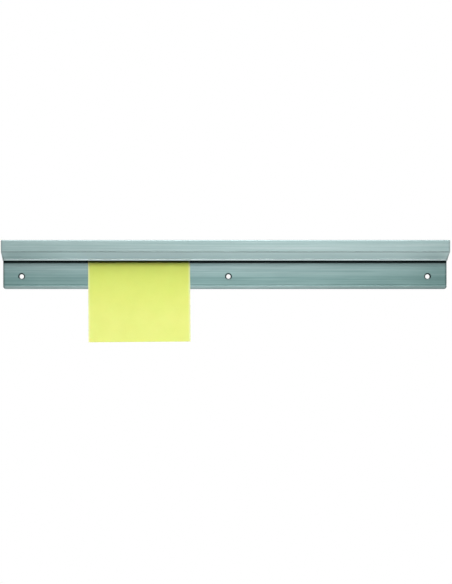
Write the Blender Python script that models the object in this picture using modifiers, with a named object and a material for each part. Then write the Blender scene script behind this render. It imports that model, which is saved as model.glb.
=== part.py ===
"""Order ticket rail: an aluminium extrusion with a row of loose glass marbles behind its hood.

A paper ticket goes up through the long slot, and the marbles roll down their slope and grip it against
the plate. Metres, +Z up. X runs along the rail, the wall is at y = 0 and the front faces -Y. The origin
is the centre of the back face. A profile point is (u, z), where u is the distance out from the wall.
"""

import math

import bmesh
import bpy
from mathutils import Matrix

# The extrusion
rail_length = 0.4572
rail_height = 0.050
plate_wall = 0.0016
hood_wall = 0.0011
slope_angle = math.radians(60)  # the hood's lower wall, measured from upright
slot_gap = 0.0031
lip_radius = 0.0010
top_edge_radius = 0.0010
crease_height = 0.0007  # the fine groove above the bend of the hood
crease_depth = 0.0004
groove_side_share = 0.25  # of a groove's height, taken by each of its sloping sides
end_chamfer = 0.00025

# The strip along the plate's bottom edge, and the groove above it
strip_height = 0.0036
strip_rise = 0.0002
strip_top_radius = 0.0005
strip_foot_radius = 0.0008
plate_groove_height = 0.0010
plate_groove_depth = 0.0003
plate_corner_radius = 0.0030

# The screw holes
hole_radius = 0.00225
countersink_radius = 0.0036
countersink_angle = math.radians(90)
hole_rise = 0.0130  # from the bottom edge up to the hole's centre
left_hole_inset = 0.0190
right_hole_inset = 0.0196
middle_hole_offset = 0.0037  # to the right of the rail's middle

# The marbles and the room that they move in
marble_diameter = 0.0127
marble_front_room = 0.0033
marble_headroom = 0.00195
fit_gap = 0.0003  # between pieces that touch

# The plugs in the ends of the channel
plug_length = 0.0075
plug_foot_height = 0.0030  # above the top of the lip
plug_bevel = 0.0004

# The ticket
ticket_width = 0.1051
ticket_length = 0.1016
ticket_thickness = 0.00025
ticket_centre_x = -0.08835
ticket_top_gap = 0.0017
ticket_tilt = math.radians(0.45)
ticket_curl = 0.0016  # how far the free lower end bends forward

# How finely round shapes are cut
arc_steps = 6
lip_steps = 18
hole_segments = 32
marble_segments = 16
marble_rings = 8
curl_steps = 12
overrun = 0.005  # how far a cutter passes the surface that it cuts
weld_distance = 0.000001
end_face_share = 0.99  # of an end face's normal that points along the extrusion

# Places that follow from the sizes above
rail_top = rail_height / 2
rail_bottom = -rail_height / 2
marble_radius = marble_diameter / 2
ceiling = rail_top - hood_wall
rail_depth = plate_wall + fit_gap + marble_diameter + marble_front_room + hood_wall
marble_to_slope_face = hood_wall + fit_gap + marble_radius
free_marble_u = plate_wall + fit_gap + marble_radius
free_marble_z = ceiling - marble_headroom - marble_radius
ticket_back = plate_wall + strip_rise + fit_gap
ticket_front = ticket_back + ticket_thickness
ticket_top = ceiling - ticket_top_gap


def height_over_slope(u, distance):
    """How far above the bend a point lies that is this far in from the slope's outer face."""
    return (distance + (u - rail_depth) * math.cos(slope_angle)) / math.sin(slope_angle)


bend_z = free_marble_z - height_over_slope(free_marble_u, marble_to_slope_face)
lip_u = plate_wall + slot_gap + lip_radius
lip_z = bend_z + height_over_slope(lip_u, hood_wall - lip_radius)


def collection(name):
    made = bpy.data.collections.new(name)
    bpy.context.scene.collection.children.link(made)
    return made


def material(name, colour, roughness, metallic=0.0, transmission=0.0):
    made = bpy.data.materials.new(name)
    made.use_nodes = True
    shader = made.node_tree.nodes["Principled BSDF"]
    shader.inputs["Base Color"].default_value = (*colour, 1.0)
    shader.inputs["Roughness"].default_value = roughness
    shader.inputs["Metallic"].default_value = metallic
    shader.inputs["Transmission Weight"].default_value = transmission
    made.diffuse_color = (*colour, 1.0)
    return made


def arc(centre, radius, start, end, steps):
    """Points on an arc, both ends included."""
    points = []
    for step in range(steps + 1):
        angle = start + (end - start) * step / steps
        points.append((centre[0] + radius * math.cos(angle), centre[1] + radius * math.sin(angle)))
    return points


def flat_outline(name, points, thickness):
    """A closed outline in the curve's own XY plane, filled, and thickened to both sides."""
    curve = bpy.data.curves.new(name, "CURVE")
    curve.dimensions = "2D"
    curve.fill_mode = "BOTH"
    curve.extrude = thickness / 2
    spline = curve.splines.new("POLY")
    spline.points.add(len(points) - 1)
    for point, place in zip(spline.points, points):
        point.co = (*place, 0.0, 1.0)
    spline.use_cyclic_u = True
    return bpy.data.objects.new(name, curve)


def as_mesh(outline, home):
    """The outline as a closed mesh object of the same name, with one face for each end."""
    name = outline.name
    home.objects.link(outline)
    bpy.context.view_layer.update()
    graph = bpy.context.evaluated_depsgraph_get()
    mesh = bpy.data.meshes.new_from_object(outline.evaluated_get(graph))
    turned = outline.matrix_world.copy()
    bpy.data.objects.remove(outline)
    shape = bmesh.new()
    shape.from_mesh(mesh)
    bmesh.ops.remove_doubles(shape, verts=shape.verts, dist=weld_distance)
    for side in (1, -1):
        ends = [face for face in shape.faces if face.normal.z * side > end_face_share]
        bmesh.ops.dissolve_faces(shape, faces=ends)
    bmesh.ops.recalc_face_normals(shape, faces=shape.faces)
    shape.to_mesh(mesh)
    shape.free()
    made = bpy.data.objects.new(name, mesh)
    made.matrix_world = turned
    home.objects.link(made)
    return made


def extruded_along_x(name, points, length, home):
    """A profile of (u, z) points, as a mesh that runs along X and is centred on x = 0."""
    outline = flat_outline(name, points, length)
    outline.matrix_world = Matrix(((0, 0, -1, 0), (-1, 0, 0, 0), (0, 1, 0, 0), (0, 0, 0, 1)))
    made = as_mesh(outline, home)
    made.data.transform(made.matrix_world)
    made.matrix_world = Matrix.Identity(4)
    return made


def round_shading(thing, angle=math.radians(30)):
    thing.data.shade_smooth()
    thing.data.set_sharp_from_angle(angle=angle)


def bevelled(thing, width, segments):
    bevel = thing.modifiers.new("edges", "BEVEL")
    bevel.width = width
    bevel.segments = segments
    bevel.limit_method = "ANGLE"


def settled(thing):
    """Turns the object's modifiers into its mesh."""
    bpy.context.view_layer.update()
    graph = bpy.context.evaluated_depsgraph_get()
    thing.data = bpy.data.meshes.new_from_object(thing.evaluated_get(graph))
    thing.modifiers.clear()


def rail_profile():
    """The extrusion's section, from the foot of the back face round to the foot of the plate's front."""
    front = rail_depth
    top_centre = (front - top_edge_radius, rail_top - top_edge_radius)
    points = [(0.0, rail_bottom), (0.0, rail_top)]
    points += arc(top_centre, top_edge_radius, math.pi / 2, 0.0, arc_steps)

    crease_side = crease_height * groove_side_share
    points.append((front, bend_z + crease_height))
    points.append((front - crease_depth, bend_z + crease_height - crease_side))
    points.append((front - crease_depth, bend_z + crease_side))
    points.append((front, bend_z))

    # The lip is a round bead, flush with the wall behind it and proud of the wall in front.
    up_angle = math.pi / 2 - slope_angle
    first = up_angle - math.asin((hood_wall - lip_radius) / lip_radius)
    last = up_angle + math.pi / 2 - 2 * math.pi
    points += arc((lip_u, lip_z), lip_radius, first, last, lip_steps)

    inner_front = front - hood_wall
    points.append((inner_front, bend_z + height_over_slope(inner_front, hood_wall)))
    points.append((inner_front, ceiling))
    points.append((plate_wall, ceiling))
    points += plate_foot_points()
    return points


def plate_foot_points():
    """The plate's front face below the slot: the groove, and the slightly raised strip under it."""
    strip_top = rail_bottom + strip_height
    groove_top = strip_top + plate_groove_height
    groove_side = plate_groove_height * groove_side_share
    floor = plate_wall - plate_groove_depth
    strip_front = plate_wall + strip_rise
    points = [(plate_wall, groove_top)]
    points.append((floor, groove_top - groove_side))
    points.append((floor, strip_top))
    head_centre = (strip_front - strip_top_radius, strip_top - strip_top_radius)
    points += arc(head_centre, strip_top_radius, math.pi / 2, 0.0, arc_steps)
    foot_centre = (strip_front - strip_foot_radius, rail_bottom + strip_foot_radius)
    points += arc(foot_centre, strip_foot_radius, 0.0, -math.pi / 2, arc_steps)
    return points


def foot_corner_points(side):
    """What is cut from a corner of the plate's foot: all that lies outside its rounding."""
    end = side * rail_length / 2
    arc_x = end - side * plate_corner_radius
    arc_z = rail_bottom + plate_corner_radius
    outer_angle = 0.0 if side > 0 else -math.pi
    points = arc((arc_x, arc_z), plate_corner_radius, -math.pi / 2, outer_angle, arc_steps)
    points.append((end + side * overrun, arc_z))
    points.append((end + side * overrun, rail_bottom - overrun))
    points.append((arc_x, rail_bottom - overrun))
    return points


def as_cutter(tool):
    tool.hide_render = True
    tool.display_type = "WIRE"
    return tool


def cone_along_wall_normal(name, centre, back_radius, front_radius, depth, segments, home):
    """A cone or cylinder whose axis points straight out from the wall."""
    shape = bmesh.new()
    bmesh.ops.create_cone(
        shape,
        cap_ends=True,
        segments=segments,
        radius1=back_radius,
        radius2=front_radius,
        depth=depth,
    )
    mesh = bpy.data.meshes.new(name)
    shape.to_mesh(mesh)
    shape.free()
    made = bpy.data.objects.new(name, mesh)
    made.location = centre
    made.rotation_euler = (math.pi / 2, 0.0, 0.0)
    home.objects.link(made)
    return as_cutter(made)


def foot_corner_cutter(place, side, home):
    outline = flat_outline(place + "_corner_cutter", foot_corner_points(side), rail_depth + 2 * overrun)
    outline.rotation_euler = (math.pi / 2, 0.0, 0.0)
    outline.location = (0.0, -rail_depth / 2, 0.0)
    return as_cutter(as_mesh(outline, home))


def hole_cutters(place, x, home):
    """A through hole and its countersink, which opens to the front."""
    z = rail_bottom + hole_rise
    through_depth = plate_wall + 2 * overrun
    through = cone_along_wall_normal(
        place + "_hole_cutter",
        (x, -plate_wall / 2, z),
        hole_radius,
        hole_radius,
        through_depth,
        hole_segments,
        home,
    )
    taper = math.tan(countersink_angle / 2)
    sink_depth = (countersink_radius - hole_radius) / taper
    sink = cone_along_wall_normal(
        place + "_countersink_cutter",
        (x, -(plate_wall - sink_depth + (sink_depth + overrun) / 2), z),
        hole_radius,
        countersink_radius + overrun * taper,
        sink_depth + overrun,
        hole_segments,
        home,
    )
    return [through, sink]


def chamfer_ends(thing):
    """A fine chamfer round both sawn ends."""
    shape = bmesh.new()
    shape.from_mesh(thing.data)
    rims = []
    for edge in shape.edges:
        first, second = edge.verts
        if abs(first.co.x - second.co.x) < weld_distance:
            rims.append(edge)
    bmesh.ops.bevel(shape, geom=rims, offset=end_chamfer, segments=1, affect="EDGES")
    shape.to_mesh(thing.data)
    shape.free()


def make_rail(home, cutters, finish):
    rail = extruded_along_x("rail_extrusion", rail_profile(), rail_length, home)
    chamfer_ends(rail)

    tools = [foot_corner_cutter(place, side, cutters) for place, side in (("left", -1), ("right", 1))]
    half = rail_length / 2
    holes = (
        ("left", -half + left_hole_inset),
        ("middle", middle_hole_offset),
        ("right", half - right_hole_inset),
    )
    for place, x in holes:
        tools += hole_cutters(place, x, cutters)
    for tool in tools:
        cut = rail.modifiers.new(tool.name, "BOOLEAN")
        cut.operation = "DIFFERENCE"
        cut.object = tool
    settled(rail)
    round_shading(rail)
    rail.data.materials.clear()
    rail.data.materials.append(finish)
    return rail


def plug_profile():
    """The channel's own section, smaller by the fit gap all round, and cut off level above the lip."""
    foot = lip_z + lip_radius + plug_foot_height
    inset = hood_wall + fit_gap
    back = plate_wall + fit_gap
    front = rail_depth - inset
    foot_front = rail_depth + ((foot - bend_z) * math.sin(slope_angle) - inset) / math.cos(slope_angle)
    return [
        (back, ceiling - fit_gap),
        (front, ceiling - fit_gap),
        (front, bend_z + height_over_slope(front, inset)),
        (foot_front, foot),
        (back, foot),
    ]


def make_plug(name, side, home, finish):
    plug = extruded_along_x(name, plug_profile(), plug_length, home)
    plug.location.x = side * (rail_length - plug_length) / 2
    bevelled(plug, plug_bevel, 2)
    settled(plug)
    round_shading(plug)
    plug.data.materials.clear()
    plug.data.materials.append(finish)
    return plug


def marble_mesh(finish):
    """A ball whose poles lie along X, so that its roundest section is the one across the rail."""
    shape = bmesh.new()
    bmesh.ops.create_uvsphere(
        shape,
        u_segments=marble_segments,
        v_segments=marble_rings,
        radius=marble_radius,
        matrix=Matrix.Rotation(math.pi / 2, 4, "Y"),
    )
    mesh = bpy.data.meshes.new("marble")
    shape.to_mesh(mesh)
    shape.free()
    mesh.shade_smooth()
    mesh.materials.append(finish)
    return mesh


def marble_place(x):
    """Where a marble rests: on the slope, and against the plate or against the ticket before it."""
    depth_over_plate = ticket_front - plate_wall
    reach = math.sqrt(marble_radius**2 - (marble_radius - depth_over_plate) ** 2)
    over_ticket = abs(x - ticket_centre_x) < ticket_width / 2 + reach + fit_gap
    u = free_marble_u
    if over_ticket:
        u += depth_over_plate
    return (x, -u, bend_z + height_over_slope(u, marble_to_slope_face))


def make_marbles(home, finish):
    channel = rail_length - 2 * plug_length
    count = int(channel / (marble_diameter + fit_gap))
    pitch = channel / count
    mesh = marble_mesh(finish)
    for index in range(count):
        marble = bpy.data.objects.new(f"marble_{index + 1:02d}", mesh)
        marble.location = marble_place(-channel / 2 + pitch * (index + 0.5))
        home.objects.link(marble)


def ticket_profile():
    """The ticket from the side, about the middle of its slot: upright above, with a slight curl below."""
    top = ticket_top
    bottom = ticket_top - ticket_length
    back = [(ticket_back, top)]
    front = [(ticket_front, top)]
    for step in range(curl_steps + 1):
        share = step / curl_steps
        z = rail_bottom + (bottom - rail_bottom) * share
        out = ticket_curl * share**2
        back.append((ticket_back + out, z))
        front.append((ticket_front + out, z))
    return back + front[::-1]


def make_ticket(home, finish):
    ticket = extruded_along_x("order_ticket", ticket_profile(), ticket_width, home)
    middle = ticket_top - ticket_length / 2
    ticket.data.transform(Matrix.Translation((0.0, 0.0, -middle)))
    ticket.location = (ticket_centre_x, 0.0, middle)
    ticket.rotation_euler = (0.0, -ticket_tilt, 0.0)
    round_shading(ticket)
    ticket.data.materials.clear()
    ticket.data.materials.append(finish)
    return ticket


def main():
    for thing in list(bpy.data.objects):
        bpy.data.objects.remove(thing, do_unlink=True)
    pieces = collection("order_ticket_rail")
    cutters = collection("cutters")

    mill_aluminium = material("mill_aluminium", (0.52, 0.62, 0.62), 0.38, metallic=1.0)
    grey_plastic = material("grey_plastic", (0.16, 0.17, 0.18), 0.5)
    marble_glass = material("marble_glass", (0.80, 0.92, 0.88), 0.05, transmission=0.9)
    yellow_paper = material("yellow_paper", (0.84, 0.90, 0.24), 0.75)

    make_rail(pieces, cutters, mill_aluminium)
    make_plug("end_plug_left", -1, pieces, grey_plastic)
    make_plug("end_plug_right", 1, pieces, grey_plastic)
    make_marbles(pieces, marble_glass)
    make_ticket(pieces, yellow_paper)

    wall_point = bpy.data.objects.new("wall_face_centre", None)
    pieces.objects.link(wall_point)
    for thing in list(pieces.objects):
        if thing is not wall_point:
            thing.parent = wall_point


main()
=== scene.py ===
"""Order ticket rail: the finish of its pieces, a plain studio and the photograph's camera. Metres, +Z up."""

import math

import bmesh
import bpy
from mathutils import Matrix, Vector


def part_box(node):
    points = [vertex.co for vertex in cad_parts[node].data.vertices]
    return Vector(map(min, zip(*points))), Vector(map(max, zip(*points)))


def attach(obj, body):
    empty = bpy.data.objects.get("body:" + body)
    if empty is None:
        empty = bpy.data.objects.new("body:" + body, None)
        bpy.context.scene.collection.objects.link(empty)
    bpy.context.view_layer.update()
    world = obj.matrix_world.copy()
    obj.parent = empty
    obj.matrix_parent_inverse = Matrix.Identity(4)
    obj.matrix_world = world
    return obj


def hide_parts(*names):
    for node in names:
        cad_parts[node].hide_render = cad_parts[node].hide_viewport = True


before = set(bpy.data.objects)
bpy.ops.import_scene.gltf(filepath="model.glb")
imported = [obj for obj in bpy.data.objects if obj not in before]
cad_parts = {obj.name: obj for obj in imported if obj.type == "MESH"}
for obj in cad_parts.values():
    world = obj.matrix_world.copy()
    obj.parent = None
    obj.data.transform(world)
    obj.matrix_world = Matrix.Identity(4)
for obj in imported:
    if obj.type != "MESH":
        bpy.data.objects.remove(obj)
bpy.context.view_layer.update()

# The rail's section, in the sizes that the frame was made with
rail_low, rail_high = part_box("rail_extrusion")
ticket_low, ticket_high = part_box("order_ticket")
rail_length = rail_high.x - rail_low.x
rail_depth = rail_high.y - rail_low.y
rail_top = rail_high.z
rail_bottom = rail_low.z
plate_wall = 0.0016
hood_wall = 0.0011
slope_angle = math.radians(60)
slot_gap = 0.0031
lip_radius = 0.0010
top_edge_radius = 0.0010
fit_gap = 0.0003
crease_height = 0.0007
crease_depth = 0.0004
groove_side_share = 0.25
strip_height = 0.0036
strip_rise = 0.0002
strip_top_radius = 0.0005
strip_foot_radius = 0.0008
plate_groove_height = 0.0010
plate_groove_depth = 0.0003
plate_corner_radius = 0.0030
end_chamfer = 0.00025
hole_radius = 0.00225
countersink_radius = 0.0036
hole_rise = 0.0130
left_hole_inset = 0.0190
right_hole_inset = 0.0196
middle_hole_offset = 0.0037
marble_diameter = 0.0127
marble_headroom = 0.00195

# The ticket
ticket_thickness = 0.00025
ticket_width = 0.1051
ticket_length = 0.1016
ticket_centre_x = -0.08835
ticket_tilt = math.radians(0.45)
ticket_curl = 0.0016

# How finely shapes are drawn
arc_steps = 10
lip_steps = 36
hole_segments = 64
chamfer_segments = 2
marble_segments = 32
marble_rings = 20
ticket_columns = 42
ticket_rows = 60
floor_cells = 8
rail_sharp_angle = math.radians(32)
ticket_sharp_angle = math.radians(40)
overrun = 0.005
weld_distance = 0.000001
sliver_distance = 0.00001

# A face by a hole whose normal's Y is over this belongs to the plate, and not to the hole
flat_normal = 0.99

# The photograph's frame and the camera
image_width = 452
rail_width_px = 443.4
rail_centre_px = 224.9
image_centre_px = 226.0
camera_distance = 1.292
camera_x = -0.045
camera_z = -0.028
sensor_width = 36.0

# The studio. Room span is the range of a ray's Y over which gloss sees a dim room turn into white.
white = (1.0, 1.0, 1.0)
room_light = 0.012
room_gloss = 0.08
room_span = (-0.25, 0.1)
floor_z = -0.75
floor_half_size = 2.5
floor_colour = (0.85, 0.85, 0.85)
late_floor_colour = (0.02, 0.02, 0.02)
floor_roughness = 0.9

ceiling = rail_top - hood_wall
marble_radius = marble_diameter / 2
free_marble_u = plate_wall + fit_gap + marble_radius
free_marble_z = ceiling - marble_headroom - marble_radius
strip_top = rail_bottom + strip_height
hole_z = rail_bottom + hole_rise
ticket_middle = (ticket_low.z + ticket_high.z) / 2


def height_over_slope(u, distance):
    return (distance + (u - rail_depth) * math.cos(slope_angle)) / math.sin(slope_angle)


bend_z = free_marble_z - height_over_slope(free_marble_u, hood_wall + fit_gap + marble_radius)
lip_u = plate_wall + slot_gap + lip_radius
lip_z = bend_z + height_over_slope(lip_u, hood_wall - lip_radius)

# Where the metal's painted shade and painted light change along the rail
left_end_span = (-0.222, -0.190)
right_end_span = (0.190, 0.222)
right_plate_span = (0.07, 0.19)
right_foot_span = (0.07, 0.11)
hood_left_span = (-0.21, -0.10)
slope_left_span = (-0.222, -0.160)
slope_right_span = (0.180, 0.228)
sawn_span = (rail_length / 2 - 0.0022, rail_length / 2 - 0.0006)

# Where it changes in depth, from 0 at the wall to minus the rail's depth at its front. A third number, here
# and below, is how softly a band ends.
back_depth = (-0.0004, -0.0001)
plate_depth = (-0.0024, -0.0010, 0.0005)
slot_shadow_depth = (-0.0020, -0.0015, 0.0001)
hood_depth = (-0.0042, -0.0030)
lip_depth = (-lip_u - lip_radius, -lip_u + lip_radius, 0.0004)
behind_lip_depth = (-lip_u + 0.0003, -lip_u + lip_radius, 0.0005)
crease_front_depth = (-0.0180, -0.0175)
worn_corner_depth = (-0.0178, -0.0172)
top_rim_depth = (-0.0186, -0.0178)
sawn_depth = (-0.0180, -0.0040)

# Where it changes in height
low_plate_height = (-0.014, -0.003)
foot_height = (strip_top - 0.0006, strip_top)
foot_rim_height = (rail_bottom + 0.0003, rail_bottom + 0.0010)
groove_height = (strip_top - 0.0002, strip_top + 0.0010, 0.0002)
slot_height = (0.0023, 0.0060, 0.0008)
lip_height = (lip_z - 0.0004, lip_z + 0.0007, 0.0001)
behind_lip_height = (lip_z - 0.0012, lip_z + 0.0014, 0.0002)
slope_height = (bend_z - 0.0006, bend_z)
crease_shade_height = (bend_z - 0.0008, bend_z + 0.0002, 0.0002)
crease_floor_height = (bend_z + 0.0003, bend_z + crease_height, 0.0001)
top_rim_height = (rail_top - 0.0010, rail_top - 0.0004)
worn_corner_height = (rail_top - 0.0011, rail_top - 0.0007)
top_height = (rail_top - 0.0003, rail_top - 0.0001)
hole_shade_height = (hole_z - 0.0030, hole_z - 0.0006)

# Where the paper changes, in height and in distance from the ticket's middle line
paper_end_height = (-ticket_length / 2 + 0.02, ticket_length / 2 - 0.02)
paper_edge_span = (ticket_width / 2 - 0.0022, ticket_width / 2 - 0.0010)

# The metal's colours
dark_metal = (0.36, 0.49, 0.484)
light_metal = (0.42, 0.54, 0.535)
dark_line = (0.29, 0.415, 0.41)
pale_line = (0.54, 0.645, 0.645)
pale_cloud = (0.53, 0.63, 0.64)
dark_drift = (0.30, 0.40, 0.40)
pale_drift = (0.50, 0.62, 0.62)
# Painted shade: the dark colour of the top and foot rims, dimming the light their rounded edges catch
rim_shade_colour = (0.10, 0.135, 0.135)
# Painted light: the slope's pale colour stands in for the light it gets from below
slope_painted_light = (0.79, 0.93, 0.932)
# Painted highlight: the lip's bright colour
lip_highlight_colour = (0.88, 1.0, 1.0)
# Painted light: the bright floor of the crease at the bend
crease_floor_light = (0.88, 0.96, 0.96)
# Painted shade: the dark colour of the crease, the foot's groove, the slot, the hood behind the lip and the
# sawn ends
painted_shade_colour = (0.020, 0.032, 0.033)
dark_bore = (0.20, 0.29, 0.29)
light_bore = (0.32, 0.42, 0.42)
# Painted shade: the dark colour at the top of each hole
bore_top_shade = (0.016, 0.034, 0.035)

# Tones that a part of the rail multiplies the metal's colour by. Those of the plate, its foot, its right part
# and ends, the top and the hood's left end are painted shade.
high_plate_shade = (0.99, 1.05, 1.05)
low_plate_shade = (0.69, 0.82, 0.81)
plate_end_shade = (0.86, 0.89, 0.89)
right_plate_shade = (0.86, 0.89, 0.88)
foot_shade = (0.87, 0.88, 0.88)
right_foot_shade = (0.78, 0.79, 0.79)
top_shade = (0.74, 0.66, 0.665)
hood_left_shade = (0.80, 0.865, 0.86)
back_tone = (0.80, 0.74, 0.745)

# The angle of the plate's streaks, how strongly the painted shade shows on the rims, in the crease, the
# groove and the slot, at the sawn ends and in the holes, and how far the lip is polished
streak_tilt = math.radians(2.5)
rim_shade_strength = 0.70
crease_shade_strength = 0.26
groove_shade_strength = 0.13
slot_shade_strength = 0.97
sawn_end_shade = (0.25, 0.55)
bore_top_shade_strength = 0.9
lip_polish = 0.17

# The other materials' colours, and the tones of the paper's formation and fibres
dark_plastic = (0.040, 0.044, 0.047)
light_plastic = (0.056, 0.060, 0.064)
clear_glass = (0.90, 0.97, 0.95)
green_glass = (0.70, 0.88, 0.84)
# Painted shade: the paper's deeper yellow at its top, under the hood
shaded_upper_paper = (0.815, 0.927, 0.178)
lower_paper = (0.875, 0.941, 0.258)
edge_paper = (0.93, 0.975, 0.48)
formation_tone = (0.94, 0.955, 0.88)
fibre_tone = (0.86, 0.88, 0.78)


def new_object(name, data):
    made = bpy.data.objects.new(name, data)
    bpy.context.scene.collection.objects.link(made)
    return made


def mesh_from(shape, name):
    """The bmesh as a mesh of this name. The bmesh is freed."""
    mesh = bpy.data.meshes.new(name)
    shape.to_mesh(mesh)
    shape.free()
    return mesh


def settled(thing):
    """Turns the object's modifiers into its mesh."""
    bpy.context.view_layer.update()
    graph = bpy.context.evaluated_depsgraph_get()
    thing.data = bpy.data.meshes.new_from_object(thing.evaluated_get(graph))
    thing.modifiers.clear()


def weld(thing, distance):
    """Joins points of the mesh that lie closer together than this."""
    shape = bmesh.new()
    shape.from_mesh(thing.data)
    bmesh.ops.remove_doubles(shape, verts=shape.verts, dist=distance)
    shape.to_mesh(thing.data)
    shape.free()


def arc(centre, radius, start, end, steps):
    points = []
    for step in range(steps + 1):
        angle = start + (end - start) * step / steps
        points.append((centre[0] + radius * math.cos(angle), centre[1] + radius * math.sin(angle)))
    return points


def add_prism(shape, near, far):
    """Adds the solid between two outlines with the same number of points."""
    rings = [[shape.verts.new(point) for point in outline] for outline in (near, far)]
    count = len(near)
    for index in range(count):
        after = (index + 1) % count
        shape.faces.new((rings[0][index], rings[0][after], rings[1][after], rings[1][index]))
    shape.faces.new(rings[0][::-1])
    shape.faces.new(rings[1])


def rail_section():
    """The extrusion's outline as (u, z) points, u out from the wall."""
    front = rail_depth
    quarter = math.pi / 2
    top_edge = (front - top_edge_radius, rail_top - top_edge_radius)
    points = [(0.0, rail_bottom), (0.0, rail_top)]
    points += arc(top_edge, top_edge_radius, quarter, 0.0, arc_steps)
    crease_side = crease_height * groove_side_share
    points.append((front, bend_z + crease_height))
    points.append((front - crease_depth, bend_z + crease_height - crease_side))
    points.append((front - crease_depth, bend_z + crease_side))
    points.append((front, bend_z))
    up_angle = quarter - slope_angle
    first = up_angle - math.asin((hood_wall - lip_radius) / lip_radius)
    last = up_angle + quarter - 2 * math.pi
    points += arc((lip_u, lip_z), lip_radius, first, last, lip_steps)
    inner_front = front - hood_wall
    points.append((inner_front, bend_z + height_over_slope(inner_front, hood_wall)))
    points.append((inner_front, ceiling))
    points.append((plate_wall, ceiling))
    groove_top = strip_top + plate_groove_height
    groove_side = plate_groove_height * groove_side_share
    groove_floor = plate_wall - plate_groove_depth
    points.append((plate_wall, groove_top))
    points.append((groove_floor, groove_top - groove_side))
    points.append((groove_floor, strip_top))
    strip_front = plate_wall + strip_rise
    strip_edge = (strip_front - strip_top_radius, strip_top - strip_top_radius)
    foot_edge = (strip_front - strip_foot_radius, rail_bottom + strip_foot_radius)
    points += arc(strip_edge, strip_top_radius, quarter, 0.0, arc_steps)
    points += arc(foot_edge, strip_foot_radius, 0.0, -quarter, arc_steps)
    return points


def extrusion(name, section, length):
    """A mesh that runs along X with this section, and a fine chamfer round both ends."""
    shape = bmesh.new()
    half = length / 2
    near, far = [[(x, -u, z) for u, z in section] for x in (-half, half)]
    add_prism(shape, near, far)
    bmesh.ops.remove_doubles(shape, verts=shape.verts, dist=weld_distance)
    bmesh.ops.recalc_face_normals(shape, faces=shape.faces)
    rims = [edge for edge in shape.edges if abs(edge.verts[0].co.x - edge.verts[1].co.x) < weld_distance]
    bmesh.ops.bevel(
        shape, geom=rims, offset=end_chamfer, segments=chamfer_segments, affect="EDGES", profile=0.5
    )
    return new_object(name, mesh_from(shape, name))


def cone_cutter(name, centre, back_radius, front_radius, depth):
    shape = bmesh.new()
    bmesh.ops.create_cone(
        shape, cap_ends=True, segments=hole_segments, radius1=back_radius, radius2=front_radius, depth=depth
    )
    made = new_object(name, mesh_from(shape, name))
    made.location = centre
    made.rotation_euler = (math.pi / 2, 0.0, 0.0)
    return made


def corner_cutter(side):
    """What lies outside the rounded corner of the plate's foot, on the left at -1 and on the right at 1."""
    end = side * rail_length / 2
    outside = end + side * overrun
    arc_x = end - side * plate_corner_radius
    arc_z = rail_bottom + plate_corner_radius
    outer_angle = 0.0 if side > 0 else -math.pi
    outline = arc((arc_x, arc_z), plate_corner_radius, -math.pi / 2, outer_angle, arc_steps)
    outline += [(outside, arc_z), (outside, rail_bottom - overrun), (arc_x, rail_bottom - overrun)]
    shape = bmesh.new()
    near, far = [[(x, y, z) for x, z in outline] for y in (-rail_depth - overrun, overrun)]
    add_prism(shape, near, far)
    bmesh.ops.recalc_face_normals(shape, faces=shape.faces)
    return new_object("corner_cutter", mesh_from(shape, "corner_cutter"))


def hole_cutters(x):
    """The through hole and the countersink of one screw hole."""
    sink_depth = countersink_radius - hole_radius
    cut_depth = sink_depth + overrun
    through = (x, -plate_wall / 2, hole_z)
    sink = (x, -(plate_wall - sink_depth + cut_depth / 2), hole_z)
    return [
        cone_cutter("through_cutter", through, hole_radius, hole_radius, plate_wall + 2 * overrun),
        cone_cutter("countersink_cutter", sink, hole_radius, countersink_radius + overrun, cut_depth),
    ]


def make_rail(finishes):
    """The extrusion with its holes and rounded corners. The second finish goes on the faces in the holes."""
    rail = extrusion("rail_skin", rail_section(), rail_length)
    cutters = [corner_cutter(-1), corner_cutter(1)]
    half = rail_length / 2
    holes = (-half + left_hole_inset, middle_hole_offset, half - right_hole_inset)
    for x in holes:
        cutters += hole_cutters(x)
    for cutter in cutters:
        cut = rail.modifiers.new("cut", "BOOLEAN")
        cut.operation = "DIFFERENCE"
        cut.object = cutter
    settled(rail)
    weld(rail, sliver_distance)
    for cutter in cutters:
        bpy.data.objects.remove(cutter)
    for finish in finishes:
        rail.data.materials.append(finish)
    for face in rail.data.polygons:
        near = min(math.hypot(face.center.x - x, face.center.z - hole_z) for x in holes)
        in_hole = near < countersink_radius + weld_distance and abs(face.normal.y) < flat_normal
        face.material_index = int(in_hole)
    rail.data.shade_smooth()
    rail.data.set_sharp_from_angle(angle=rail_sharp_angle)
    weighted = rail.modifiers.new("normals", "WEIGHTED_NORMAL")
    weighted.keep_sharp = True
    settled(rail)
    return rail


# A Mix node has sockets for each kind of value. These are the places of the ones for colours.
mix_factor = 0
mix_first = 6
mix_second = 7
mix_result = 2


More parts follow.
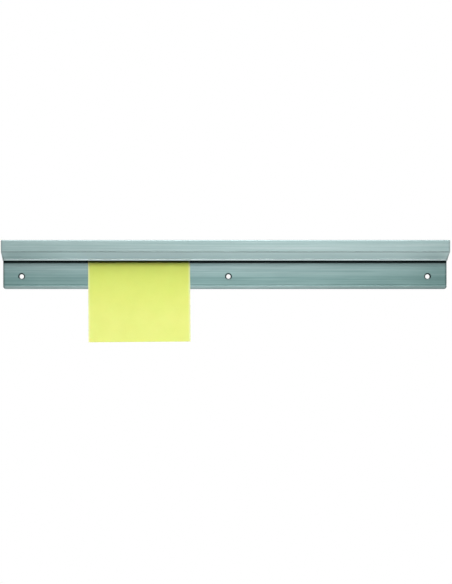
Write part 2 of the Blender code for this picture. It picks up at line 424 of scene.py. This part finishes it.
class Nodes:
    """The node tree of a material or of the world, with short calls to add and join nodes."""

    def __init__(self, owner, shader="Principled BSDF", place="Object"):
        owner.use_nodes = True
        self.owner = owner
        self.tree = owner.node_tree
        self.shader = self.tree.nodes[shader]
        self.place = self.add("ShaderNodeTexCoord").outputs[place]
        self.split = None

    def add(self, kind, **settings):
        node = self.tree.nodes.new(kind)
        for key, value in settings.items():
            setattr(node, key, value)
        return node

    def join(self, source, target):
        self.tree.links.new(source, target)

    def feed(self, socket, value):
        """Joins another node's output to the socket, or writes a number or a colour on it."""
        if isinstance(value, bpy.types.NodeSocket):
            self.join(value, socket)
        elif isinstance(value, tuple):
            socket.default_value = (*value, 1.0)
        else:
            socket.default_value = value

    def set(self, **values):
        for name, value in values.items():
            self.feed(self.shader.inputs[name.replace("_", " ")], value)

    def mapped(self, place, **values):
        """The place after a Mapping node with these values."""
        mapping = self.add("ShaderNodeMapping")
        for name, value in values.items():
            mapping.inputs[name].default_value = value
        self.join(place, mapping.inputs["Vector"])
        return mapping.outputs["Vector"]

    def axis(self, name):
        """The X, Y or Z of the place."""
        if self.split is None:
            self.split = self.add("ShaderNodeSeparateXYZ")
            self.join(self.place, self.split.inputs[0])
        return self.split.outputs[name]

    def noise(
        self, scale, stretch=(1.0, 1.0, 1.0), detail=3.0, rough=0.55, offset=(0.0, 0.0, 0.0), place=None
    ):
        node = self.add("ShaderNodeTexNoise")
        node.inputs["Scale"].default_value = scale
        node.inputs["Detail"].default_value = detail
        node.inputs["Roughness"].default_value = rough
        self.join(self.mapped(place or self.place, Scale=stretch, Location=offset), node.inputs["Vector"])
        return node.outputs["Fac"]

    def ramp(self, factor, low, high, start=0.3, end=0.7):
        """A number from low to high as the factor goes from start to end."""
        node = self.add("ShaderNodeMapRange")
        node.inputs["From Min"].default_value = start
        node.inputs["From Max"].default_value = end
        node.inputs["To Min"].default_value = low
        node.inputs["To Max"].default_value = high
        self.join(factor, node.inputs["Value"])
        return node.outputs["Result"]

    def above(self, value, start, end, most=1.0):
        """0 below start, and the most above end."""
        return self.ramp(value, 0.0, most, start, end)

    def below(self, value, start, end, most=1.0):
        """The most below start, and 0 above end."""
        return self.ramp(value, most, 0.0, start, end)

    def band(self, value, low, high, soft):
        """1 between low and high, and 0 further than soft outside them."""
        return self.times(self.above(value, low - soft, low), self.below(value, high, high + soft))

    def calculate(self, operation, first, second=0.0):
        node = self.add("ShaderNodeMath", operation=operation)
        self.feed(node.inputs[0], first)
        self.feed(node.inputs[1], second)
        return node.outputs[0]

    def times(self, first, second):
        return self.calculate("MULTIPLY", first, second)

    def larger(self, first, second):
        return self.calculate("MAXIMUM", first, second)

    def mix(self, factor, first, second, blend="MIX"):
        node = self.add("ShaderNodeMix", data_type="RGBA", blend_type=blend)
        self.feed(node.inputs[mix_factor], factor)
        self.feed(node.inputs[mix_first], first)
        self.feed(node.inputs[mix_second], second)
        return node.outputs[mix_result]

    def tint(self, factor, colour, tone):
        """The colour, multiplied by the tone as far as the factor says."""
        return self.mix(factor, colour, self.mix(1.0, colour, tone, "MULTIPLY"))

    def bump(self, height, strength, distance, after=None):
        node = self.add("ShaderNodeBump")
        self.feed(node.inputs["Strength"], strength)
        self.feed(node.inputs["Distance"], distance)
        self.join(height, node.inputs["Height"])
        if after is not None:
            self.join(after, node.inputs["Normal"])
        return node.outputs["Normal"]

    def ray_kinds(self):
        """Three switches: straight or through glass, off gloss, and before any matt surface."""
        path = self.add("ShaderNodeLightPath").outputs
        straight = self.larger(path["Is Camera Ray"], path["Is Transmission Ray"])
        return straight, path["Is Glossy Ray"], self.calculate("LESS_THAN", path["Diffuse Depth"], 0.5)


def drawn_metal(n, lines, cloud):
    """The metal's own colour: broad bands, thin dark and pale lines, and faint clouds."""
    broad = n.noise(scale=300.0, stretch=(0.012, 1.0, 1.0), detail=2.0, offset=(0.3, 0.0, 0.7))
    colour = n.mix(n.above(broad, 0.38, 0.62), dark_metal, light_metal)
    colour = n.mix(n.above(lines, 0.48, 0.72, most=0.8), colour, dark_line)
    colour = n.mix(n.below(lines, 0.28, 0.45, most=0.6), colour, pale_line)
    return n.mix(n.above(cloud, 0.45, 0.75, most=0.2), colour, pale_cloud)


def plate_metal(n, colour, plate):
    """The plate's streaks, at a slight angle, and its painted shade: darker than the hood, and darker further
    down, at the foot, on its right part and towards both ends.
    """
    along, height = n.axis("X"), n.axis("Z")
    tilted = n.mapped(n.place, Rotation=(0.0, streak_tilt, 0.0))
    drift = n.noise(
        scale=150.0, stretch=(0.10, 1.0, 1.0), detail=3.0, rough=0.6, offset=(0.7, 0.2, 0.4), place=tilted
    )
    colour = n.mix(n.times(plate, n.above(drift, 0.5, 0.7, most=0.35)), colour, dark_drift)
    colour = n.mix(n.times(plate, n.below(drift, 0.3, 0.5, most=0.3)), colour, pale_drift)
    # Painted shade: the plate darker under the hood and further down, at its foot, on its right part and at
    # both ends
    tone = n.mix(n.below(height, *low_plate_height), high_plate_shade, low_plate_shade)
    tone = n.tint(n.below(along, *left_end_span), tone, plate_end_shade)
    foot = n.mix(n.above(along, *right_foot_span), foot_shade, right_foot_shade)
    tone = n.mix(n.below(height, *foot_height), tone, foot)
    tone = n.tint(n.above(along, *right_plate_span), tone, right_plate_shade)
    tone = n.tint(n.above(along, *right_end_span, most=0.8), tone, plate_end_shade)
    return n.tint(plate, colour, tone)


def hood_metal(n, colour):
    """Painted shade on the rims at top and foot, painted light that makes the slope paler, painted shade on
    the left end and on the top, and a darker, redder tone on the back.
    """
    along, depth, height = n.axis("X"), n.axis("Y"), n.axis("Z")
    # Painted shade on the rims at the top and the foot
    top_rim = n.times(n.above(height, *top_rim_height), n.below(depth, *top_rim_depth))
    rims = n.larger(top_rim, n.below(height, *foot_rim_height, most=0.5))
    colour = n.mix(n.times(rims, rim_shade_strength), colour, rim_shade_colour)
    front = n.below(depth, *hood_depth)
    # Painted light on the slope, weaker towards both ends
    slope = n.times(front, n.below(height, *slope_height))
    slope_left = n.below(along, *slope_left_span, most=0.72)
    near_end = n.larger(slope_left, n.above(along, *slope_right_span, most=0.6))
    colour = n.mix(n.times(slope, n.below(near_end, 0.0, 1.0, most=0.7)), colour, slope_painted_light)
    # Painted shade: the top face darker
    colour = n.tint(n.above(height, *top_height), colour, top_shade)
    # Painted shade: the hood's front darker towards its left end
    left_end = n.below(along, *hood_left_span, most=0.28)
    colour = n.tint(n.times(left_end, front), colour, hood_left_shade)
    return n.tint(n.above(depth, *back_depth), colour, back_tone)


def painted_metal_shade(n, plate):
    """Painted shade on the metal: in the crease at the bend, in the foot's groove and the slot, behind the
    lip, and at the sawn ends.
    """
    along, depth, height = n.axis("X"), n.axis("Y"), n.axis("Z")
    # Painted shade in the crease at the bend
    crease = n.times(n.band(height, *crease_shade_height), n.below(depth, *crease_front_depth))
    # Painted shade in the foot's groove
    groove = n.times(plate, n.band(height, *groove_height))
    # Painted shadow on the plate in the slot, and painted shade on the hood behind the lip
    slot = n.times(n.band(depth, *slot_shadow_depth), n.band(height, *slot_height))
    behind_lip = n.times(n.band(depth, *behind_lip_depth), n.band(height, *behind_lip_height))
    slot = n.larger(slot, behind_lip)
    # Painted shade at the sawn ends, darker towards the wall
    ends = n.above(n.calculate("ABSOLUTE", along), *sawn_span)
    painted_shade = n.larger(n.times(crease, crease_shade_strength), n.times(groove, groove_shade_strength))
    painted_shade = n.larger(painted_shade, n.times(slot, slot_shade_strength))
    return n.larger(painted_shade, n.times(ends, n.ramp(depth, *sawn_end_shade, *sawn_depth)))


def mill_aluminium():
    """Extruded aluminium: drawn lines along X in several widths, faint stains, pits, painted shade, painted
    highlights, and edges worn smooth.
    """
    n = Nodes(bpy.data.materials.new("mill_aluminium"))
    lines = n.noise(scale=800.0, stretch=(0.008, 1.0, 1.0), detail=3.0, rough=0.6, offset=(1.3, 0.4, 0.2))
    fine = n.noise(scale=4200.0, stretch=(0.005, 1.0, 1.0), detail=3.0, rough=0.6, offset=(0.0, 2.1, 0.9))
    cloud = n.noise(scale=18.0, stretch=(0.5, 1.0, 1.6), detail=4.0, rough=0.6)
    pits = n.noise(scale=2600.0, stretch=(0.35, 1.0, 1.0), detail=2.0)
    depth, height = n.axis("Y"), n.axis("Z")
    plate = n.band(depth, *plate_depth)
    colour = drawn_metal(n, lines, cloud)
    colour = plate_metal(n, colour, plate)
    colour = hood_metal(n, colour)

    # Painted highlight: the lip's colour is made bright, and the floor of the crease at the bend gets painted
    # light too.
    lip = n.times(n.band(height, *lip_height), n.band(depth, *lip_depth))
    colour = n.mix(lip, colour, lip_highlight_colour)
    crease_floor = n.band(height, *crease_floor_height)
    crease_floor = n.times(crease_floor, n.below(depth, *crease_front_depth, most=0.4))
    # Painted light on the floor of the crease
    colour = n.mix(crease_floor, colour, crease_floor_light)
    # Painted shade in the crease, groove and slot, behind the lip and at the sawn ends
    colour = n.mix(painted_metal_shade(n, plate), colour, painted_shade_colour)
    n.set(Base_Color=colour, Metallic=1.0)
    rough = n.calculate("ADD", n.ramp(lines, 0.50, 0.58), n.ramp(cloud, -0.03, 0.05))
    n.set(Roughness=n.calculate("SUBTRACT", rough, n.times(lip, lip_polish)))

    # The lip and the top's front corner are worn smooth, so the lines and pits fade there.
    corner = n.times(n.above(height, *worn_corner_height), n.below(depth, *worn_corner_depth))
    unworn = n.calculate("SUBTRACT", 1.0, n.larger(lip, corner))
    relief = n.bump(lines, strength=n.ramp(unworn, 0.02, 0.15, 0.0, 1.0), distance=0.00008)
    relief = n.bump(fine, strength=n.ramp(unworn, 0.05, 0.5, 0.0, 1.0), distance=0.00006, after=relief)
    relief = n.bump(pits, strength=n.ramp(unworn, 0.0, 0.1, 0.0, 1.0), distance=0.00002, after=relief)
    n.set(Normal=relief)
    return n.owner


def drilled_bore():
    """The countersinks and holes: duller metal with turning marks, with painted shade towards the top of each
    hole.
    """
    n = Nodes(bpy.data.materials.new("drilled_bore"))
    marks = n.noise(scale=3500.0, stretch=(1.0, 3.0, 1.0), detail=2.0)
    # Painted shade: the top of each hole darker
    shaded_top = n.times(n.above(n.axis("Z"), *hole_shade_height), bore_top_shade_strength)
    n.set(Base_Color=n.mix(shaded_top, n.mix(marks, dark_bore, light_bore), bore_top_shade), Metallic=1.0)
    n.set(Roughness=n.ramp(marks, 0.38, 0.52))
    n.set(Normal=n.bump(marks, strength=0.3, distance=0.00004))
    return n.owner


def grey_plastic():
    """The end plugs: dark moulded plastic with a fine speckle."""
    n = Nodes(bpy.data.materials.new("grey_plastic"))
    speckle = n.noise(scale=2400.0, detail=2.0)
    cloud = n.noise(scale=90.0, detail=3.0)
    n.set(Base_Color=n.mix(n.ramp(cloud, 0.0, 1.0), dark_plastic, light_plastic))
    n.set(Roughness=n.ramp(speckle, 0.42, 0.58))
    n.set(Normal=n.bump(speckle, strength=0.3, distance=0.00004))
    return n.owner


def marble_glass():
    """Pale green glass with a soft swirl."""
    n = Nodes(bpy.data.materials.new("marble_glass"))
    swirl = n.noise(scale=160.0, stretch=(1.0, 2.2, 1.0), detail=3.0)
    n.set(Base_Color=n.mix(n.above(swirl, 0.45, 0.6), clear_glass, green_glass))
    n.set(Transmission_Weight=0.95, IOR=1.52, Roughness=n.ramp(swirl, 0.02, 0.07))
    n.set(Normal=n.bump(n.noise(scale=900.0), strength=0.05, distance=0.00002))
    return n.owner


def yellow_paper():
    """Uncoated yellow paper: a deeper yellow at its top, which is painted shade, paler towards its free end
    and cut edges, with cloudy formation and short fibres.
    """
    n = Nodes(bpy.data.materials.new("yellow_paper"))
    formation = n.noise(scale=45.0, detail=5.0, rough=0.6)
    fibres = n.noise(scale=2200.0, stretch=(1.0, 1.0, 0.35), detail=4.0, rough=0.7)
    # Painted shade: the paper a deeper yellow at its top, under the hood
    colour = n.mix(n.below(n.axis("Z"), *paper_end_height), shaded_upper_paper, lower_paper)
    edge = n.above(n.calculate("ABSOLUTE", n.axis("X")), *paper_edge_span, most=0.8)
    colour = n.mix(edge, colour, edge_paper)
    colour = n.tint(n.above(formation, 0.4, 0.65, most=0.5), colour, formation_tone)
    colour = n.tint(n.above(fibres, 0.5, 0.8, most=0.35), colour, fibre_tone)
    n.set(Base_Color=colour)
    n.set(Roughness=n.ramp(fibres, 0.78, 0.92))
    cockle = n.bump(formation, strength=0.08, distance=0.0004)
    n.set(Normal=n.bump(fibres, strength=0.25, distance=0.00003, after=cockle))
    n.set(Subsurface_Weight=0.10, Subsurface_Scale=0.0005, Specular_IOR_Level=0.3)
    return n.owner


def make_marbles(finish):
    shape = bmesh.new()
    bmesh.ops.create_uvsphere(
        shape, u_segments=marble_segments, v_segments=marble_rings, radius=marble_radius
    )
    mesh = mesh_from(shape, "marble_ball")
    mesh.shade_smooth()
    mesh.materials.append(finish)
    for name in sorted(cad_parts):
        if not name.startswith("marble_"):
            continue
        low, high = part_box(name)
        ball = new_object(name.replace("marble", "ball"), mesh)
        ball.location = (low + high) / 2
        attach(ball, name)
        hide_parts(name)


def ticket_sheet():
    """The ticket's face: upright in the slot, with a slight forward curl towards its free end."""
    top = ticket_length / 2
    free_from = rail_bottom - ticket_middle
    shape = bmesh.new()
    grid = []
    for row in range(ticket_rows + 1):
        z = top - ticket_length * row / ticket_rows
        hang = max(0.0, (free_from - z) / (free_from + top))
        y = -(-ticket_high.y + ticket_curl * hang**2)
        across = [column / ticket_columns - 0.5 for column in range(ticket_columns + 1)]
        grid.append([shape.verts.new((share * ticket_width, y, z)) for share in across])
    for upper, lower in zip(grid, grid[1:]):
        for column in range(ticket_columns):
            shape.faces.new((upper[column], lower[column], lower[column + 1], upper[column + 1]))
    bmesh.ops.recalc_face_normals(shape, faces=shape.faces)
    return mesh_from(shape, "ticket_paper")


def make_ticket(finish):
    mesh = ticket_sheet()
    ticket = new_object("ticket_paper", mesh)
    thick = ticket.modifiers.new("thick", "SOLIDIFY")
    thick.thickness = ticket_thickness
    thick.offset = 1.0 if mesh.polygons[0].normal.y < 0 else -1.0
    settled(ticket)
    ticket.data.shade_smooth()
    ticket.data.set_sharp_from_angle(angle=ticket_sharp_angle)
    ticket.location = (ticket_centre_x, 0.0, ticket_middle)
    ticket.rotation_euler = (0.0, -ticket_tilt, 0.0)
    ticket.data.materials.append(finish)
    ticket.visible_glossy = False
    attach(ticket, "order_ticket")
    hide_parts("order_ticket")


def make_camera():
    data = bpy.data.cameras.new("camera")
    data.sensor_fit = "HORIZONTAL"
    data.sensor_width = sensor_width
    pixels_per_metre = rail_width_px / rail_length
    data.lens = sensor_width * pixels_per_metre * camera_distance / image_width
    # The picture's middle, in metres along the rail, is right of where the camera stands.
    picture_middle = (image_centre_px - rail_centre_px) / pixels_per_metre
    data.shift_x = (picture_middle - camera_x) * pixels_per_metre / image_width
    camera = new_object("camera", data)
    camera.location = (camera_x, -plate_wall - camera_distance, camera_z)
    camera.rotation_euler = (math.pi / 2, 0.0, 0.0)
    bpy.context.scene.camera = camera


def area_light(name, place, target, size, power):
    data = bpy.data.lights.new(name, "AREA")
    data.shape = "RECTANGLE"
    data.size, data.size_y = size
    data.energy = power
    light = new_object(name, data)
    light.location = place
    light.rotation_euler = (Vector(target) - Vector(place)).to_track_quat("-Z", "Y").to_euler()


def make_world():
    """A white background for camera, gloss and glass, and a dimmer room on the camera's side."""
    world = bpy.data.worlds.new("studio")
    bpy.context.scene.world = world
    n = Nodes(world, shader="Background", place="Generated")
    straight, gloss, before_matt = n.ray_kinds()
    behind = n.ramp(n.axis("Y"), room_gloss, 1.0, *room_span)
    bright = n.larger(straight, n.times(n.times(gloss, before_matt), behind))
    room = n.calculate("ADD", room_light, n.times(gloss, room_gloss - room_light))
    n.set(Color=white, Strength=n.larger(bright, room))


def make_floor():
    """A plain pale floor well below the rail, white to the camera as the background is."""
    shape = bmesh.new()
    bmesh.ops.create_grid(shape, x_segments=floor_cells, y_segments=floor_cells, size=floor_half_size)
    mesh = mesh_from(shape, "floor")
    floor = new_object("floor", mesh)
    floor.location = (0.0, 0.0, floor_z)
    n = Nodes(bpy.data.materials.new("floor_paint"))
    straight, gloss, before_matt = n.ray_kinds()
    seen = n.larger(straight, n.times(gloss, before_matt))
    # Metal that is seen from a matt surface shows no floor, so the slot under the hood stays dark.
    late = n.times(gloss, n.calculate("SUBTRACT", 1.0, before_matt))
    n.set(Base_Color=n.mix(late, floor_colour, late_floor_colour), Roughness=floor_roughness)
    glow = n.add("ShaderNodeEmission")
    blend = n.add("ShaderNodeMixShader")
    n.join(seen, blend.inputs[0])
    n.join(n.shader.outputs[0], blend.inputs[1])
    n.join(glow.outputs[0], blend.inputs[2])
    n.join(blend.outputs[0], n.tree.nodes["Material Output"].inputs["Surface"])
    mesh.materials.append(n.owner)
    floor.visible_diffuse = False


make_camera()
bpy.context.scene.view_settings.view_transform = "Standard"
make_world()
make_floor()
area_light("key", place=(0.11, -1.175, 0.85), target=(0.03, 0.0, 0.0), size=(0.7, 0.36), power=17.4)
area_light("overhead", place=(0.06, -0.62, 1.25), target=(0.03, 0.0, 0.0), size=(1.3, 1.3), power=22.0)
area_light("back", place=(-0.1, 1.1, 0.9), target=(0.0, 0.0, 0.0), size=(1.2, 0.8), power=22.0)

rail = make_rail((mill_aluminium(), drilled_bore()))
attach(rail, "rail")
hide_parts("rail_extrusion")

plastic = grey_plastic()
for name in ("end_plug_left", "end_plug_right"):
    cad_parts[name].material_slots[0].material = plastic

make_marbles(marble_glass())
make_ticket(yellow_paper())
